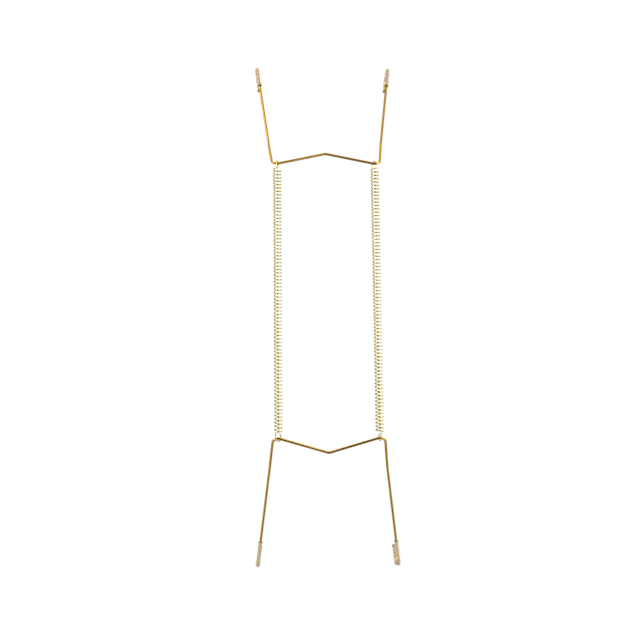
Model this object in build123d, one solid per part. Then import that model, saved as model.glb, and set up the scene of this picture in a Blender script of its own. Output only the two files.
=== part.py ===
from build123d import *
import math
import os

# A wire plate hanger: two bent wire claws, drawn together by two extension springs, with
# soft sleeves on the four hooks. Sizes are in millimetres and degrees.
# The hanger stands upright as on a wall. +Z is up, the wall is on the -Y side and the held
# plate on the +Y side. The origin is the hanging point, on the wire at the peak of the upper
# claw's crossbar.

# The wires, and the flats that stand for their round sections
CLAW_WIRE = 1.25
CLAW_FLAT_COUNT = 16
SPRING_WIRE = 0.55
SPRING_FLAT_COUNT = 4

# The crossbar of a claw, in the plane of its inner part, which leans away from the plate
SEAT_HALF_SPAN = 25.6
CORNER_HALF_SPAN = 28.4
FOOT_HALF_SPAN = 30.0
CREST_DEPTH = 8.8
SHOULDER_DEPTH = 0.9
INNER_LEG = 16.1
INNER_TILT = 36.5

# The outer leg, from the plate's foot to the rim
OUTER_LEG_HEIGHT = 49.4
OUTER_LEG_TILT = 16.8
OUTER_LEG_SPLAY = 7.4

# The rim hook at the end of each leg
HOOK_WIDTH = 14.9
TIP_LENGTH = 9.6
TIP_TILT = 24.5

# Bend radii of the wire's centre line, and the most that one mitre of a bend turns
CREST_RADIUS = 2.2
SEAT_RADIUS = 1.5
CORNER_RADIUS = 2.6
FOOT_RADIUS = 3.0
KNEE_RADIUS = 4.0
TIP_RADIUS = 3.0
BEND_STEP = 15.0

# The sleeves
SLEEVE_OUTSIDE = 2.3
SLEEVE_CLEARANCE = 0.05
SLEEVE_LEG = 12.3
SLEEVE_OVERHANG = 0.6

# The springs, stretched as on the plate
SPRING_MEAN_DIAMETER = 3.75
COIL_PITCH = 1.817
COIL_TURNS = 76
RUNS_PER_TURN = 6
LOOP_RUN_ANGLE = 30.0
LOOP_FIRST_ANGLE = -30.0
LOOP_LAST_ANGLE = 210.0
LOOP_NECK = 2.4
LOOP_PLAY = 0.45
LEFT_LOOP_ANGLE = -120.0
RIGHT_LOOP_ANGLE = -60.0

# Worked out from the sizes above
SLEEVE_BORE = CLAW_WIRE + 2 * SLEEVE_CLEARANCE
COIL_RADIUS = SPRING_MEAN_DIAMETER / 2
LOOP_DROP = COIL_RADIUS - SPRING_WIRE / 2 - CLAW_WIRE / 2 - LOOP_PLAY


def round_section(diameter, flats):
    """A round section drawn with flats, of the same area as the circle."""
    area = math.pi * diameter**2 / 4
    corner_radius = math.sqrt(2 * area / (flats * math.sin(2 * math.pi / flats)))
    return RegularPolygon(corner_radius, flats)


def inner_point(x, outward):
    """A point of the leaning inner part, counted outward from the line through the seats."""
    tilt = math.radians(INNER_TILT)
    return Vector(x, outward * math.sin(tilt), outward * math.cos(tilt))


def leg_point(height):
    """A point of the right outer leg's line, so far above the foot bend."""
    foot = inner_point(FOOT_HALF_SPAN, SHOULDER_DEPTH + INNER_LEG)
    across = height * math.tan(math.radians(OUTER_LEG_SPLAY))
    towards_plate = height * math.tan(math.radians(OUTER_LEG_TILT))
    return foot + Vector(across, towards_plate, height)


def hook_points():
    """The right hook's corners: the knee behind the rim, the turn before it and the tip."""
    knee = leg_point(OUTER_LEG_HEIGHT)
    turn = knee + Vector(0, HOOK_WIDTH, 0)
    tilt = math.radians(TIP_TILT)
    splay = math.radians(OUTER_LEG_SPLAY)
    down = TIP_LENGTH * math.cos(tilt)
    tip = turn + Vector(-down * math.tan(splay), -TIP_LENGTH * math.sin(tilt), -down)
    return [knee, turn, tip]


def mirrored(points):
    """The same points on the left side, in the opposite order."""
    return [Vector(-p.X, p.Y, p.Z) for p in reversed(points)]


def sweep_section(section, route):
    """The section swept along a route of straight runs, mitred where they meet."""
    start = Plane(origin=route[0], z_dir=route[1] - route[0])
    return sweep(start * section, path=Polyline(*route), transition=Transition.RIGHT, clean=False)


def mitred_bend(before, corner, after, radius):
    """A bend's mitre points, evenly spaced just outside its arc, each turning the same angle."""
    arriving = (corner - before).normalized()
    leaving = (after - corner).normalized()
    turn = arriving.get_angle(leaving)
    mitres = math.ceil(turn / BEND_STEP)
    half_run = radius * math.tan(math.radians(turn / mitres / 2))
    point = corner - arriving * (radius * math.tan(math.radians(turn / 2)) - half_run)
    hinge_line = Axis((0, 0, 0), arriving.cross(leaving))
    points = [point]
    for mitre in range(1, mitres):
        point = point + arriving.rotate(hinge_line, turn * mitre / mitres) * (2 * half_run)
        points.append(point)
    return points


def bent_wire(points, radii, section):
    """A wire or tube of the given section, bent at each inner point to the given radius."""
    route = [points[0]]
    for before, corner, after, radius in zip(points, points[1:], points[2:], radii):
        route += mitred_bend(before, corner, after, radius)
    return sweep_section(section, route + [points[-1]])


def make_claw():
    """One claw, hooks up, with the line through its two spring seats on the X axis."""
    crest = inner_point(0, CREST_DEPTH)
    right = [
        inner_point(SEAT_HALF_SPAN, 0),
        inner_point(CORNER_HALF_SPAN, SHOULDER_DEPTH),
        leg_point(0),
    ] + hook_points()
    radii = [SEAT_RADIUS, CORNER_RADIUS, FOOT_RADIUS, KNEE_RADIUS, TIP_RADIUS]
    points = mirrored(right) + [crest] + right
    section = round_section(CLAW_WIRE, CLAW_FLAT_COUNT)
    return bent_wire(points, radii[::-1] + [CREST_RADIUS] + radii, section)


def make_sleeve():
    """The right sleeve: a tube from low on the leg, round the hook and just past the tip."""
    knee, turn, tip = hook_points()
    leg_run = knee - leg_point(0)
    start = knee - leg_run.normalized() * SLEEVE_LEG
    end = tip + (tip - turn).normalized() * SLEEVE_OVERHANG
    outside = round_section(SLEEVE_OUTSIDE, CLAW_FLAT_COUNT)
    section = outside - round_section(SLEEVE_BORE, CLAW_FLAT_COUNT)
    return bent_wire([start, knee, turn, end], [KNEE_RADIUS, TIP_RADIUS], section)


def loop_points(side_angle, centre_z, up):
    """An end loop's corners, in the upright plane at side_angle, from the coil to its free end."""
    side = Vector(1, 0, 0).rotate(Axis.Z, side_angle)
    steps = round((LOOP_LAST_ANGLE - LOOP_FIRST_ANGLE) / LOOP_RUN_ANGLE)
    points = []
    for step in range(steps + 1):
        angle = math.radians(LOOP_FIRST_ANGLE + step * LOOP_RUN_ANGLE)
        lift = Vector(0, 0, up * COIL_RADIUS * math.sin(angle))
        points.append(Vector(0, 0, centre_z) + side * (COIL_RADIUS * math.cos(angle)) + lift)
    return points


def coil_points(first_angle):
    """The coil's corners, rising about the Z axis from z = 0."""
    points = []
    for run in range(COIL_TURNS * RUNS_PER_TURN + 1):
        turns = run / RUNS_PER_TURN
        out = Vector(COIL_RADIUS, 0, 0).rotate(Axis.Z, first_angle + 360 * turns)
        points.append(out + Vector(0, 0, COIL_PITCH * turns))
    return points


def make_spring(loop_angle):
    """An extension spring about the Z axis, its coil from z = 0 up, with a loop at each end."""
    lower_loop = loop_points(loop_angle, -LOOP_NECK, up=-1)
    upper_loop = loop_points(loop_angle, COIL_TURNS * COIL_PITCH + LOOP_NECK, up=1)
    corners = lower_loop[::-1] + coil_points(loop_angle) + upper_loop
    return sweep_section(round_section(SPRING_WIRE, SPRING_FLAT_COUNT), corners)


# Where the pieces go
seat_span = COIL_TURNS * COIL_PITCH + 2 * (LOOP_NECK + LOOP_DROP)
crest_z = CREST_DEPTH * math.cos(math.radians(INNER_TILT))
crest_y = CREST_DEPTH * math.sin(math.radians(INNER_TILT))
upper_seats = Pos(0, -crest_y, -crest_z)
lower_seats = Pos(0, -crest_y, -crest_z - seat_span)
coil_start = Pos(0, -crest_y, -crest_z - seat_span + LOOP_DROP + LOOP_NECK)

claw = make_claw()
right_sleeve = make_sleeve()
left_sleeve = mirror(right_sleeve, about=Plane.YZ)

parts = {
    "upper_claw": upper_seats * claw,
    "lower_claw": lower_seats * mirror(claw, about=Plane.XY),
    "upper_left_sleeve": upper_seats * left_sleeve,
    "upper_right_sleeve": upper_seats * right_sleeve,
    "lower_left_sleeve": lower_seats * mirror(left_sleeve, about=Plane.XY),
    "lower_right_sleeve": lower_seats * mirror(right_sleeve, about=Plane.XY),
    "left_spring": coil_start * Pos(-SEAT_HALF_SPAN, 0, 0) * make_spring(LEFT_LOOP_ANGLE),
    "right_spring": coil_start * Pos(SEAT_HALF_SPAN, 0, 0) * make_spring(RIGHT_LOOP_ANGLE),
}

os.makedirs("parts", exist_ok=True)
for name, shape in parts.items():
    shape.label = name
    export_step(shape, f"parts/{name}.step")
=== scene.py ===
import math

import bmesh
import bpy
from mathutils import Matrix, Vector


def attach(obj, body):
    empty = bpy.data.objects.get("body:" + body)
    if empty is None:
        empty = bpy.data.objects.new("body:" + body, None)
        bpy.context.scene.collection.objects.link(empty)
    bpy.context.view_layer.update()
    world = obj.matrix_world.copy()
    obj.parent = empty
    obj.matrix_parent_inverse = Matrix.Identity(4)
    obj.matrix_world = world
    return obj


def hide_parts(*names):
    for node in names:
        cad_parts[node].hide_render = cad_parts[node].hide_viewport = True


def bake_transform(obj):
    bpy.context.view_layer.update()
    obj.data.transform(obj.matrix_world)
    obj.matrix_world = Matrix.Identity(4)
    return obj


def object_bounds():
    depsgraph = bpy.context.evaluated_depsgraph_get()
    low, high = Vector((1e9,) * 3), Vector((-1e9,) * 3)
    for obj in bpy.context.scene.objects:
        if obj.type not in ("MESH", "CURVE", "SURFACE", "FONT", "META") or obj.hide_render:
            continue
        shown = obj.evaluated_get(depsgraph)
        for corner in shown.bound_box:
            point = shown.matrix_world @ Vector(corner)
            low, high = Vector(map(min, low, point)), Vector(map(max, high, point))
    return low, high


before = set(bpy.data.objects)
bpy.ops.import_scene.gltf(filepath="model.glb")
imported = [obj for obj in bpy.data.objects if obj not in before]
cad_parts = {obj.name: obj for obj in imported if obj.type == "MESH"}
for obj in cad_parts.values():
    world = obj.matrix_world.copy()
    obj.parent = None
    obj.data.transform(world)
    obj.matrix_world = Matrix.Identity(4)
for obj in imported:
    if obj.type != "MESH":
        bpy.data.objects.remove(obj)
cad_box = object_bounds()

# The two claws: one length each of hard-drawn spring wire, bent cold on a wire former to two
# rim hooks, two legs and a crossbar with a peak, then barrel-plated with brass and lacquered.
mm = 0.001
claw_wire = 1.25 * mm
claw_sides = 28
seat_half_span = 25.6 * mm
corner_half_span = 28.4 * mm
foot_half_span = 30.0 * mm
crest_depth = 8.8 * mm
shoulder_depth = 0.9 * mm
inner_leg = 16.1 * mm
inner_tilt = math.radians(36.5)
outer_leg_height = 49.4 * mm
outer_leg_tilt = math.radians(16.8)
outer_leg_splay = math.radians(7.4)
hook_width = 14.9 * mm
tip_length = 9.6 * mm
tip_tilt = math.radians(24.5)
crest_radius = 2.2 * mm
seat_radius = 1.5 * mm
corner_radius = 2.6 * mm
foot_radius = 3.0 * mm
knee_radius = 4.0 * mm
tip_radius = 3.0 * mm
seat_span = 143.942 * mm
cut_chamfer = 0.12 * mm


def start_wire(mesh, place, heading, thickness, sides):
    """An open ring of the wire's section at place, facing along heading. Each vertex keeps
    its direction across the section, for patterns that follow the wire."""
    facing = heading.to_track_quat("Z", "Y").to_matrix().to_4x4()
    placing = Matrix.Translation(place) @ facing
    layers = mesh.verts.layers.float_vector
    across = layers.get("across") or layers.new("across")
    verts = bmesh.ops.create_circle(mesh, segments=sides, radius=thickness / 2, matrix=placing)["verts"]
    for vert in verts:
        vert[across] = (placing.inverted() @ vert.co).normalized()
    return list(dict.fromkeys(edge for vert in verts for edge in vert.link_edges))


def ring_verts(ring):
    """The vertices of a ring of edges, in an order that is the same each run."""
    return list(dict.fromkeys(vert for edge in ring for vert in edge.verts))


def form_wire(mesh, ring, centre=Vector(), axis=Vector((0, 0, 1)), angle=0.0, steps=1, rise=Vector()):
    """Draws the wire on from its last ring, round an axis, along a straight line, or both."""
    geom = ring_verts(ring) + ring
    drawn = bmesh.ops.spin(
        mesh, geom=geom, cent=centre, axis=axis, angle=angle, steps=steps, dvec=rise / steps
    )
    return [item for item in drawn["geom_last"] if isinstance(item, bmesh.types.BMEdge)]


def cut_end(mesh, ring, heading, chamfer):
    """Closes a wire's end with the small chamfer that shears and plating leave."""
    ring = form_wire(mesh, ring, rise=heading.normalized() * chamfer)
    verts = ring_verts(ring)
    middle = sum((vert.co for vert in verts), Vector()) / len(verts)
    radius = (verts[0].co - middle).length
    shrink = Vector((1, 1, 1)) * (1 - chamfer / radius)
    bmesh.ops.scale(mesh, vec=shrink, space=Matrix.Translation(-middle), verts=verts)
    bmesh.ops.contextual_create(mesh, geom=verts + ring)


def bend_wire(mesh, points, radii, thickness, sides, degrees_per_step=6.0):
    """A wire along straight runs between points, bent round an arc at each inner point.
    Gives back its first and last ring."""
    heading = (points[1] - points[0]).normalized()
    first = ring = start_wire(mesh, points[0], heading, thickness, sides)
    place = points[0]
    for corner, after, radius in zip(points[1:], points[2:], radii):
        leaving = (after - corner).normalized()
        turn = heading.angle(leaving)
        setback = radius * math.tan(turn / 2)
        bend_start = corner - heading * setback
        ring = form_wire(mesh, ring, rise=bend_start - place)
        axis = heading.cross(leaving).normalized()
        centre = bend_start + axis.cross(heading) * radius
        steps = max(2, round(math.degrees(turn) / degrees_per_step))
        ring = form_wire(mesh, ring, centre=centre, axis=axis, angle=turn, steps=steps)
        place = corner + leaving * setback
        heading = leaving
    ring = form_wire(mesh, ring, rise=points[-1] - place)
    return first, ring


def inner_point(x, outward):
    """A point of a claw's leaning inner part, counted outward from the line of the seats."""
    return Vector((x, outward * math.sin(inner_tilt), outward * math.cos(inner_tilt)))


def leg_point(height):
    """A point of the right outer leg, so far above the foot bend."""
    foot = inner_point(foot_half_span, shoulder_depth + inner_leg)
    return foot + Vector((height * math.tan(outer_leg_splay), height * math.tan(outer_leg_tilt), height))


def hook_points():
    """The right hook's corners: the knee behind the rim, the turn before it and the tip."""
    knee = leg_point(outer_leg_height)
    turn = knee + Vector((0, hook_width, 0))
    down = tip_length * math.cos(tip_tilt)
    tip = turn + Vector((-down * math.tan(outer_leg_splay), -tip_length * math.sin(tip_tilt), -down))
    return [knee, turn, tip]


def claw_points():
    """The corners of a claw's wire from its left tip to its right tip, hooks up."""
    right = [
        inner_point(seat_half_span, 0),
        inner_point(corner_half_span, shoulder_depth),
        leg_point(0),
    ] + hook_points()
    left = [Vector((-point.x, point.y, point.z)) for point in reversed(right)]
    return left + [inner_point(0, crest_depth)] + right


seats_y = -crest_depth * math.sin(inner_tilt)
upper_seats = Vector((0, seats_y, -crest_depth * math.cos(inner_tilt)))
lower_seats = upper_seats - Vector((0, 0, seat_span))


def on_claw(points, claw):
    """Points of a claw, moved to the upper claw or flipped to the lower one."""
    if claw == "upper":
        return [upper_seats + point for point in points]
    return [lower_seats + Vector((point.x, point.y, -point.z)) for point in points]


sharp_from = math.radians(50)


def finish_piece(mesh, name, material, body, replaced):
    """Closes a mesh as a smooth-shaded piece that rides on a body, where it has just one, and
    stands for a node."""
    bmesh.ops.recalc_face_normals(mesh, faces=mesh.faces)
    data = bpy.data.meshes.new(name)
    mesh.to_mesh(data)
    mesh.free()
    data.materials.append(material)
    data.shade_smooth()
    data.set_sharp_from_angle(angle=sharp_from)
    piece = bpy.data.objects.new(name, data)
    bpy.context.scene.collection.objects.link(piece)
    if body:
        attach(piece, body)
    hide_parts(replaced)
    return piece


def hex_colour(code):
    """An sRGB hex value as the linear colour that shaders take."""
    parts = [int(code[place : place + 2], 16) / 255 for place in (1, 3, 5)]
    linear = [part / 12.92 if part <= 0.04045 else ((part + 0.055) / 1.055) ** 2.4 for part in parts]
    return (*linear, 1.0)


def new_material(name):
    """A node material with only its output left, and that output."""
    material = bpy.data.materials.new(name)
    material.use_nodes = True
    material.node_tree.nodes.clear()
    return material, add_node(material.node_tree, "ShaderNodeOutputMaterial")


def add_node(tree, kind, settings=None, inputs=None):
    """A node with its settings, and its inputs set to values or linked from other sockets."""
    node = tree.nodes.new(kind)
    for name, value in (settings or {}).items():
        setattr(node, name, value)
    for name, value in (inputs or {}).items():
        if isinstance(value, bpy.types.NodeSocket):
            tree.links.new(value, node.inputs[name])
        else:
            node.inputs[name].default_value = value
    return node


def set_ramp(ramp, stops):
    """Gives a colour ramp its stops, as pairs of place and hex colour."""
    elements = ramp.color_ramp.elements
    while len(elements) < len(stops):
        elements.new(0.5)
    for element, (place, code) in zip(elements, stops):
        element.position = place
        element.color = hex_colour(code)


patch_scale = 160.0
die_line_scale = 9.0
die_line_drift = 18.0
die_line_depth = 0.04 * mm
die_line_strength = 0.12


def plated_wire(name, pale, deep, tarnish, edge, roughness):
    """Brass plating over drawn steel wire: a smooth metal that shows its surroundings in its own
    yellow. The plating is thinner and redder here and there, and the drawing die's lines
    under it streak the gloss along the wire."""
    material, output = new_material(name)
    tree = material.node_tree
    place = add_node(tree, "ShaderNodeTexCoord").outputs["Object"]
    # Patches of thicker and thinner plating, about 6 mm long
    patches = add_node(
        tree, "ShaderNodeTexNoise", inputs={"Vector": place, "Scale": patch_scale, "Detail": 3.0}
    )
    colour = add_node(tree, "ShaderNodeValToRGB", inputs={"Fac": patches.outputs["Fac"]})
    set_ramp(colour, [(0.32, deep), (0.55, pale), (0.78, tarnish)])
    # Die lines, about 0.07 mm apart round a claw's wire and 6 mm long, coarser than the real
    # ones so that they show
    across = add_node(tree, "ShaderNodeAttribute", {"attribute_name": "across"}).outputs["Vector"]
    drift = add_node(
        tree, "ShaderNodeVectorMath", {"operation": "SCALE"}, {0: place, "Scale": die_line_drift}
    ).outputs["Vector"]
    along = add_node(tree, "ShaderNodeVectorMath", {"operation": "ADD"}, {0: across, 1: drift})
    lines = add_node(
        tree,
        "ShaderNodeTexNoise",
        inputs={"Vector": along.outputs["Vector"], "Scale": die_line_scale, "Detail": 4.0},
    )
    gloss = add_node(
        tree,
        "ShaderNodeMapRange",
        inputs={"Value": lines.outputs["Fac"], "To Min": roughness * 0.7, "To Max": roughness * 1.35},
    )
    relief = add_node(
        tree,
        "ShaderNodeBump",
        inputs={"Height": lines.outputs["Fac"], "Strength": die_line_strength, "Distance": die_line_depth},
    )
    plating = add_node(
        tree,
        "ShaderNodeBsdfPrincipled",
        inputs={
            "Base Color": colour.outputs["Color"],
            "Metallic": 1.0,
            "Specular Tint": hex_colour(edge),
            "Roughness": gloss.outputs["Result"],
            "Normal": relief.outputs["Normal"],
        },
    )
    tree.links.new(plating.outputs["BSDF"], output.inputs["Surface"])
    return material


claw_plating = plated_wire("brass_plated_claw_wire", "#D6AC44", "#CC9C34", "#C39128", "#DFAE45", 0.13)

for claw, body in (("upper", "upper_claw"), ("lower", "lower_claw")):
    mesh = bmesh.new()
    points = on_claw(claw_points(), claw)
    side_radii = [seat_radius, corner_radius, foot_radius, knee_radius, tip_radius]
    radii = side_radii[::-1] + [crest_radius] + side_radii
    first, last = bend_wire(mesh, points, radii, claw_wire, claw_sides)
    cut_end(mesh, first, points[0] - points[1], cut_chamfer)
    cut_end(mesh, last, points[-1] - points[-2], cut_chamfer)
    finish_piece(mesh, f"{claw}_claw_wire", claw_plating, body, f"{claw}_claw")

# The sleeves: short lengths of clear soft vinyl tube, cut square and pushed over the wire's
# ends before the hooks are bent, to cushion them. They grip the wire by themselves.
sleeve_outside = 2.3 * mm
sleeve_bore = 1.35 * mm
sleeve_leg = 12.3 * mm
sleeve_overhang = 0.6 * mm
sleeve_sides = 32
cut_lip = 0.3 * mm
haze_scale = 420.0
shear_scale = 3300.0
shear_depth = 0.05 * mm


def clear_vinyl():
    """Plasticised vinyl, extruded: clear, glossy and faintly warm. Part of it lets light straight
    through and part bends it, and a faint haze breaks up the gloss."""
    material, output = new_material("clear_vinyl_tube")
    tree = material.node_tree
    place = add_node(tree, "ShaderNodeTexCoord").outputs["Object"]
    # Haze in patches of about 2.4 mm
    haze = add_node(
        tree, "ShaderNodeTexNoise", inputs={"Vector": place, "Scale": haze_scale, "Detail": 3.0}
    )
    gloss = add_node(
        tree, "ShaderNodeMapRange", inputs={"Value": haze.outputs["Fac"], "To Min": 0.04, "To Max": 0.16}
    )
    tint = add_node(tree, "ShaderNodeValToRGB", inputs={"Fac": haze.outputs["Fac"]})
    set_ramp(tint, [(0.3, "#F7F5EA"), (0.7, "#FBFAF3")])
    vinyl = add_node(
        tree,
        "ShaderNodeBsdfPrincipled",
        inputs={
            "Base Color": tint.outputs["Color"],
            "Roughness": gloss.outputs["Result"],
            "IOR": 1.4,
            "Alpha": 0.38,
            "Transmission Weight": 0.75,
        },
    )
    tree.links.new(vinyl.outputs["BSDF"], output.inputs["Surface"])
    return material


def sleeve_points():
    """The right sleeve's corners, from low on the leg, round the hook, to just past the tip."""
    knee, turn, tip = hook_points()
    start = knee - (knee - leg_point(0)).normalized() * sleeve_leg
    return [start, knee, turn, tip + (tip - turn).normalized() * sleeve_overhang]


def cut_vinyl():
    """The tube's sheared ends: matt, and painted darker than the walls, a painted shade that stands for the
    light leaving there.
    """
    material, output = new_material("sheared_vinyl_end")
    tree = material.node_tree
    place = add_node(tree, "ShaderNodeTexCoord").outputs["Object"]
    # Shear marks, drawn 0.3 mm apart so that they show
    marks = add_node(
        tree, "ShaderNodeTexNoise", inputs={"Vector": place, "Scale": shear_scale, "Detail": 2.0}
    )
    # Painted shade: the ramp's dark olive stands for the light lost through the cut ends, varied along the
    # shear marks
    painted_shade_and_marks = add_node(tree, "ShaderNodeValToRGB", inputs={"Fac": marks.outputs["Fac"]})
    set_ramp(painted_shade_and_marks, [(0.35, "#5E5226"), (0.65, "#8B7F48")])
    relief = add_node(
        tree,
        "ShaderNodeBump",
        inputs={"Height": marks.outputs["Fac"], "Strength": 0.3, "Distance": shear_depth},
    )
    end = add_node(
        tree,
        "ShaderNodeBsdfPrincipled",
        inputs={
            "Base Color": painted_shade_and_marks.outputs["Color"],
            "Roughness": 0.45,
            "Alpha": 0.75,
            "Normal": relief.outputs["Normal"],
        },
    )
    tree.links.new(end.outputs["BSDF"], output.inputs["Surface"])
    return material


vinyl = clear_vinyl()
vinyl_end = cut_vinyl()

for claw in ("upper", "lower"):
    for side, sign in (("left", -1), ("right", 1)):
        mesh = bmesh.new()
        points = on_claw([Vector((sign * point.x, point.y, point.z)) for point in sleeve_points()], claw)
        start_lip = (points[0] - points[1]).normalized() * cut_lip
        end_lip = (points[-1] - points[-2]).normalized() * cut_lip
        points = [points[0] - start_lip, *points[1:-1], points[-1] - end_lip]
        ends = []
        for diameter in (sleeve_outside, sleeve_bore):
            ends.append(bend_wire(mesh, points, [knee_radius, tip_radius], diameter, sleeve_sides))
        walls = set(mesh.faces)
        for outer, bore, lip in zip(*ends, (start_lip, end_lip)):
            edges = form_wire(mesh, outer, rise=lip) + form_wire(mesh, bore, rise=lip)
            bmesh.ops.bridge_loops(mesh, edges=edges)
        for face in mesh.faces:
            face.material_index = 0 if face in walls else 1
        name = f"{claw}_{side}_sleeve"
        tube = finish_piece(mesh, f"{name}_tube", vinyl, f"{claw}_claw", name)
        tube.data.materials.append(vinyl_end)

# The springs: close-coiled extension springs of finer plated wire, with the last turn at each
# end bent up into a loop that hooks round a crossbar's low point. In use they stay drawn out.
spring_wire = 0.55 * mm
spring_sides = 12
coil_radius = 1.875 * mm
coil_pitch = 1.817 * mm
coil_turns = 76
coil_steps = 22
loop_neck = 2.4 * mm
loop_drop = 0.525 * mm
neck_bend = 0.7 * mm
neck_steps = 10
loop_end = math.radians(232)
loop_steps = 44
spring_chamfer = 0.06 * mm
merge_distance = 0.001 * mm
loop_angles = {"left": math.radians(-120), "right": math.radians(-60)}

spring_plating = plated_wire(
    "pale_brass_plated_spring_wire", "#ECDD84", "#DCC766", "#CBB350", "#EDDC8A", 0.14
)


def end_loop(mesh, ring, place, heading, centre, up):
    """From the coil's last ring, bends up into the neck and round the loop to its free end."""
    upright = Vector((0, 0, up))
    turn = heading.angle(upright)
    axis = heading.cross(upright).normalized()
    bend_centre = place + axis.cross(heading) * neck_bend
    ring = form_wire(mesh, ring, centre=bend_centre, axis=axis, angle=turn, steps=neck_steps)
    foot = bend_centre + Matrix.Rotation(turn, 3, axis) @ (place - bend_centre)
    loop_start = Vector((foot.x, foot.y, centre.z))
    ring = form_wire(mesh, ring, rise=loop_start - foot)
    inward = (Vector((centre.x, centre.y, 0)) - Vector((foot.x, foot.y, 0))).normalized()
    loop_axis = upright.cross(inward).normalized()
    loop_centre = loop_start + inward * coil_radius
    ring = form_wire(mesh, ring, centre=loop_centre, axis=loop_axis, angle=loop_end, steps=loop_steps)
    tangent = Matrix.Rotation(loop_end, 3, loop_axis) @ upright
    cut_end(mesh, ring, tangent, spring_chamfer)


for side, sign in (("left", -1), ("right", 1)):
    mesh = bmesh.new()
    axis_foot = lower_seats + Vector((sign * seat_half_span, 0, loop_drop + loop_neck))
    out = Vector((math.cos(loop_angles[side]), math.sin(loop_angles[side]), 0))
    rise_per_radian = coil_pitch / (2 * math.pi)
    heading = (Vector((-out.y, out.x, 0)) * coil_radius + Vector((0, 0, rise_per_radian))).normalized()
    coil_start = axis_foot + out * coil_radius
    first = start_wire(mesh, coil_start, heading, spring_wire, spring_sides)
    one_rise = Vector((0, 0, coil_pitch))
    last = form_wire(mesh, first, centre=axis_foot, angle=2 * math.pi, steps=coil_steps, rise=one_rise)
    one_turn = mesh.verts[:] + mesh.edges[:] + mesh.faces[:]
    for turn in range(1, coil_turns):
        copy = bmesh.ops.duplicate(mesh, geom=one_turn)
        verts = [item for item in copy["geom"] if isinstance(item, bmesh.types.BMVert)]
        bmesh.ops.translate(mesh, vec=one_rise * turn, verts=verts)
    last = [copy["edge_map"][edge] for edge in last]
    coil_rise = one_rise * coil_turns
    neck = Vector((0, 0, loop_neck))
    end_loop(mesh, last, coil_start + coil_rise, heading, axis_foot + coil_rise + neck, 1)
    end_loop(mesh, first, coil_start, -heading, axis_foot - neck, -1)
    bmesh.ops.remove_doubles(mesh, verts=mesh.verts, dist=merge_distance)
    spring = finish_piece(
        mesh, f"{side}_spring_coil", spring_plating, None, f"{side}_spring"
    )
    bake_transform(spring)

# The studio: a floor of matt white card well below the hanger, and three square soft lamps, one
# at each side of the camera and one behind the hanger.
floor_drop = 0.3
floor_size = 5.6
floor_lift = 0.2


def studio_floor():
    """Matt white card, lifted for the camera alone so that it meets the white surround."""
    material, output = new_material("white_studio_card")
    tree = material.node_tree
    card = add_node(tree, "ShaderNodeBsdfDiffuse", inputs={"Color": hex_colour("#F4F4F4")})
    lift = add_node(tree, "ShaderNodeEmission", inputs={"Color": hex_colour("#FFFFFF")})
    rays = add_node(tree, "ShaderNodeLightPath")
    strength = add_node(
        tree, "ShaderNodeMath", {"operation": "MULTIPLY"}, {0: rays.outputs["Is Camera Ray"], 1: floor_lift}
    )
    tree.links.new(strength.outputs["Value"], lift.inputs["Strength"])
    both = add_node(
        tree, "ShaderNodeAddShader", inputs={0: card.outputs["BSDF"], 1: lift.outputs["Emission"]}
    )
    tree.links.new(both.outputs["Shader"], output.inputs["Surface"])
    return material


def stage_sheet(name, material, size_x, size_y, placing):
    """A flat sheet of the stage, of the given size, placed by a matrix in its mesh."""
    mesh = bmesh.new()
    bmesh.ops.create_grid(mesh, x_segments=1, y_segments=1, size=0.5)
    bmesh.ops.scale(mesh, vec=(size_x, size_y, 1), verts=mesh.verts)
    bmesh.ops.transform(mesh, matrix=placing, verts=mesh.verts)
    data = bpy.data.meshes.new(name)
    mesh.to_mesh(data)
    mesh.free()
    data.materials.append(material)
    sheet = bpy.data.objects.new(name, data)
    bpy.context.scene.collection.objects.link(sheet)
    return sheet


floor_z = cad_box[0][2] - floor_drop
floor_place = Matrix.Translation((0, 0, floor_z))
floor = stage_sheet("studio_floor", studio_floor(), floor_size, floor_size, floor_place)
floor.visible_glossy = False

middle_z = (cad_box[0][2] + cad_box[1][2]) / 2

for name, place, size, watts in (
    ("left_softbox", (-1.1, -0.75, 0.75), 0.9, 9.0),
    ("right_softbox", (1.1, -0.75, 0.55), 0.9, 7.0),
    ("back_softbox", (0.2, 1.4, 0.9), 1.0, 6.0),
):
    lamp = bpy.data.lights.new(name, "AREA")
    lamp.shape = "SQUARE"
    lamp.size = size
    lamp.energy = watts
    holder = bpy.data.objects.new(name, lamp)
    holder.location = place
    aim = Vector((0, 10 * mm, middle_z)) - Vector(place)
    holder.rotation_euler = aim.to_track_quat("-Z", "Y").to_euler()
    bpy.context.scene.collection.objects.link(holder)

# The surround: an even white. What is glossy mirrors a room instead, which is white but for dark
# gaps in its walls, wide ones behind the camera and the hanger and narrow ones at the left and
# right. They give the bright wire its brown core.
dark_room = "#22160B"
diffuse_light = 0.8

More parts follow.
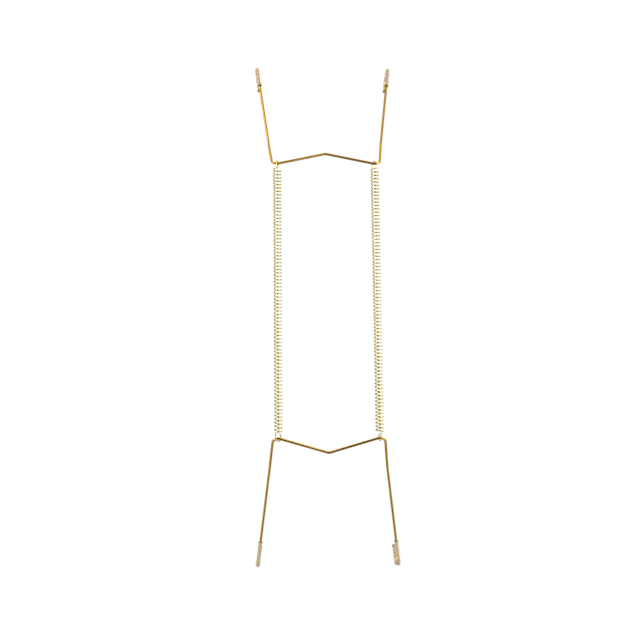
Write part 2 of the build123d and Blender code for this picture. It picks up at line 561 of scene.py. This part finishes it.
world = bpy.data.worlds.new("white_studio")
world.use_nodes = True
world.node_tree.nodes.clear()
sky = world.node_tree
towards = add_node(sky, "ShaderNodeTexCoord").outputs["Generated"]
towards = add_node(sky, "ShaderNodeSeparateXYZ", inputs={"Vector": towards})
wall_light = []
for axis, dark_from, white_from in (("X", 0.36, 0.56), ("Y", 0.08, 0.2)):
    off_axis = add_node(sky, "ShaderNodeMath", {"operation": "ABSOLUTE"}, {0: towards.outputs[axis]})
    wall = add_node(
        sky,
        "ShaderNodeMapRange",
        {"interpolation_type": "SMOOTHSTEP"},
        {"Value": off_axis.outputs["Value"], "From Min": dark_from, "From Max": white_from},
    )
    wall_light.append(wall.outputs["Result"])
white_walls = add_node(
    sky, "ShaderNodeMath", {"operation": "MULTIPLY"}, {0: wall_light[0], 1: wall_light[1]}
)
lit = white_walls.outputs["Value"]
for dark_from, white_from in ((0.72, 0.9), (-0.86, -0.98)):
    level = add_node(
        sky,
        "ShaderNodeMapRange",
        {"interpolation_type": "SMOOTHSTEP"},
        {"Value": towards.outputs["Z"], "From Min": dark_from, "From Max": white_from},
    )
    lit = add_node(sky, "ShaderNodeMath", {"operation": "MAXIMUM"}, {0: lit, 1: level.outputs["Result"]})
    lit = lit.outputs["Value"]
mirrored_room = add_node(sky, "ShaderNodeValToRGB", inputs={"Fac": lit})
set_ramp(mirrored_room, [(0.0, dark_room), (1.0, "#FFFFFF")])
rays = add_node(sky, "ShaderNodeLightPath")
plain = add_node(
    sky,
    "ShaderNodeMapRange",
    inputs={"Value": rays.outputs["Is Diffuse Ray"], "To Min": 1.0, "To Max": diffuse_light},
)
open_sky = add_node(
    sky, "ShaderNodeBackground", inputs={"Color": hex_colour("#FFFFFF"), "Strength": plain.outputs["Result"]}
)
mirrored_sky = add_node(sky, "ShaderNodeBackground", inputs={"Color": mirrored_room.outputs["Color"]})
surround = add_node(
    sky,
    "ShaderNodeMixShader",
    inputs={
        0: rays.outputs["Is Glossy Ray"],
        1: open_sky.outputs["Background"],
        2: mirrored_sky.outputs["Background"],
    },
)
add_node(sky, "ShaderNodeOutputWorld", inputs={"Surface": surround.outputs["Shader"]})
bpy.context.scene.world = world

# The camera: a little below the hanger and nearly square on to its hanging side, with its place,
# lens and turn fitted to the photograph.
focal_length = 66.5
camera_distance = 0.6388
elevation = math.radians(-10.14)
azimuth = math.radians(-2.38)
roll = math.radians(-0.62)
aim_point = Vector((-2.71, 26.58, -84.82)) * mm

forward = Vector(
    (-math.sin(azimuth) * math.cos(elevation), math.cos(azimuth) * math.cos(elevation), -math.sin(elevation))
)
right = Vector((math.cos(azimuth), math.sin(azimuth), 0))
up = right.cross(forward)
right, up = right * math.cos(roll) + up * math.sin(roll), up * math.cos(roll) - right * math.sin(roll)
lens = bpy.data.cameras.new("photo_view")
lens.lens = focal_length
lens.sensor_width = 36.0
camera = bpy.data.objects.new("photo_view", lens)
facing = Matrix((right, up, -forward)).transposed().to_4x4()
camera.matrix_world = Matrix.Translation(aim_point - forward * camera_distance) @ facing
bpy.context.scene.collection.objects.link(camera)
bpy.context.scene.camera = camera
bpy.context.scene.view_settings.view_transform = "Standard"
